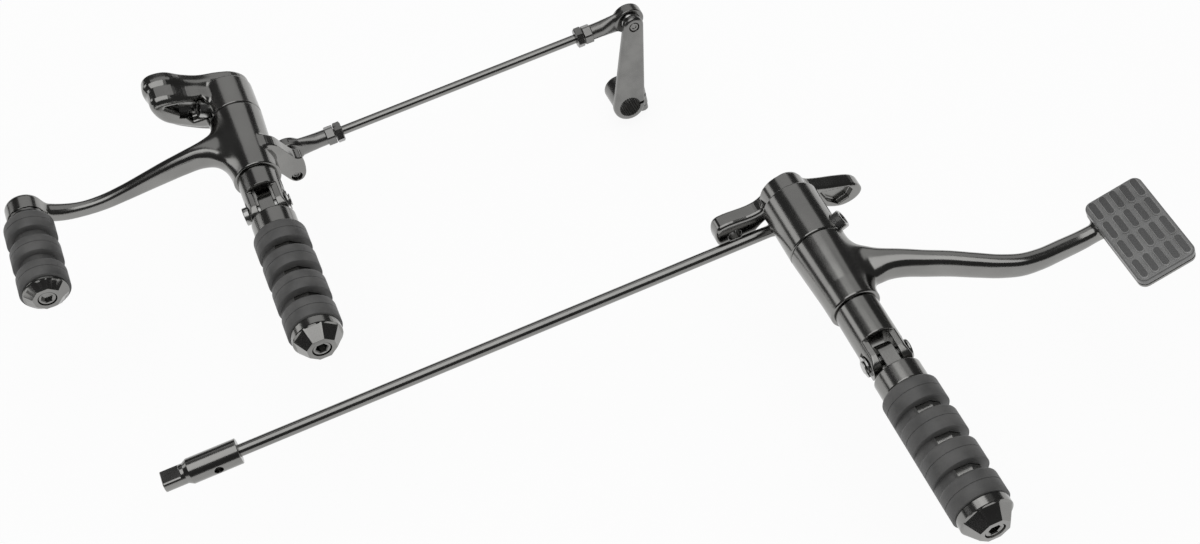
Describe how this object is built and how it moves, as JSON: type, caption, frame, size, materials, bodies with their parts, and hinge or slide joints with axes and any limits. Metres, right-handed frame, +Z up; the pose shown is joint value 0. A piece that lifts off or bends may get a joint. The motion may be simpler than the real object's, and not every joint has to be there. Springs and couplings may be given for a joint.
{
  "type": "motorcycle forward controls",
  "caption": "Forward foot controls for a motorcycle: shift side with toe peg, rod and arm, brake side with pedal and rod, and folding ribbed foot pegs.",
  "frame": {"origin": "on the left bracket's flat rear face, where it is bolted to the motorcycle", "axes": "+X along the control rods towards the right side's assembly, +Y into the motorcycle, +Z up; foot pegs point along -Y"},
  "size_m": [0.6467, 0.5324, 0.1434],
  "materials": {
    "gloss_black_metal": "gloss black coat on metal",
    "satin_black_steel": "satin black steel",
    "dark_steel": "dark plated steel",
    "black_rubber": "matte moulded rubber"
  },
  "bodies": {
    "brackets": {"left_bracket": "gloss_black_metal", "left_lock_screw": "satin_black_steel", "left_peg_support": "gloss_black_metal", "left_pivot_pin": "dark_steel", "left_pin_clip": "dark_steel", "right_bracket": "gloss_black_metal", "right_lock_screw": "satin_black_steel", "right_peg_support": "gloss_black_metal", "right_pivot_pin": "dark_steel", "right_pin_clip": "dark_steel"},
    "shift_lever": {"shift_lever": "gloss_black_metal", "left_hub_bush": "dark_steel", "toe_peg_core": "satin_black_steel", "toe_peg_rubber": "black_rubber", "toe_peg_cap": "gloss_black_metal", "toe_peg_screw": "satin_black_steel", "front_ball": "dark_steel", "front_spacer": "satin_black_steel", "front_rod_bolt": "satin_black_steel"},
    "shift_rod": {"front_rod_end": "satin_black_steel", "front_jam_nut": "satin_black_steel", "shift_rod": "gloss_black_metal", "rear_jam_nut": "satin_black_steel", "rear_rod_end": "satin_black_steel"},
    "shift_arm": {"rear_ball": "dark_steel", "rear_rod_bolt": "satin_black_steel", "shift_arm": "satin_black_steel", "arm_pinch_bolt": "satin_black_steel"},
    "left_peg": {"left_peg_core": "gloss_black_metal", "left_peg_rubber": "black_rubber", "left_peg_cap": "gloss_black_metal", "left_peg_screw": "satin_black_steel"},
    "right_peg": {"right_peg_core": "gloss_black_metal", "right_peg_rubber": "black_rubber", "right_peg_cap": "gloss_black_metal", "right_peg_screw": "satin_black_steel"},
    "brake_pedal": {"brake_pedal": "gloss_black_metal", "right_hub_bush": "dark_steel", "brake_pad": "black_rubber", "brake_rod_bolt": "satin_black_steel"},
    "brake_rod": {"brake_rod": "gloss_black_metal", "brake_coupler": "gloss_black_metal"}
  },
  "joints": [
    {"name": "shift_lever_pivot", "type": "hinge", "parent": "brackets", "child": "shift_lever", "pos_m": [0.033, -0.037, -0.006], "axis": [0, -1, 0], "range_deg": [-12, 12]},
    {"name": "shift_rod_pivot", "type": "hinge", "parent": "shift_lever", "child": "shift_rod", "pos_m": [0.057, -0.054, -0.0345], "axis": [0, -1, 0], "range_deg": [-14, 14]},
    {"name": "shift_arm_pivot", "type": "hinge", "parent": "shift_rod", "child": "shift_arm", "pos_m": [0.3128, -0.054, -0.0345], "axis": [0, -0.9903, 0.1392], "range_deg": [-4, 4]},
    {"name": "left_peg_fold", "type": "hinge", "parent": "brackets", "child": "left_peg", "pos_m": [0.033, -0.1214, -0.006], "axis": [-1, 0, 0], "range_deg": [0, 75]},
    {"name": "right_peg_fold", "type": "hinge", "parent": "brackets", "child": "right_peg", "pos_m": [0.3318, -0.4084, -0.0031], "axis": [-1, 0, 0], "range_deg": [0, 75]},
    {"name": "brake_pedal_pivot", "type": "hinge", "parent": "brackets", "child": "brake_pedal", "pos_m": [0.3318, -0.3196, -0.0031], "axis": [0, 1, 0], "range_deg": [0, 12]},
    {"name": "brake_rod_pivot", "type": "hinge", "parent": "brake_pedal", "child": "brake_rod", "pos_m": [0.3318, -0.2756, -0.0288], "axis": [0, 1, 0], "range_deg": [-12, 0]}
  ],
  "couplings": [
    {"joint": "shift_rod_pivot", "follows": "shift_lever_pivot", "ratio": -1.12},
    {"joint": "shift_arm_pivot", "follows": "shift_lever_pivot", "ratio": -0.31},
    {"joint": "brake_rod_pivot", "follows": "brake_pedal_pivot", "ratio": -1}
  ]
}
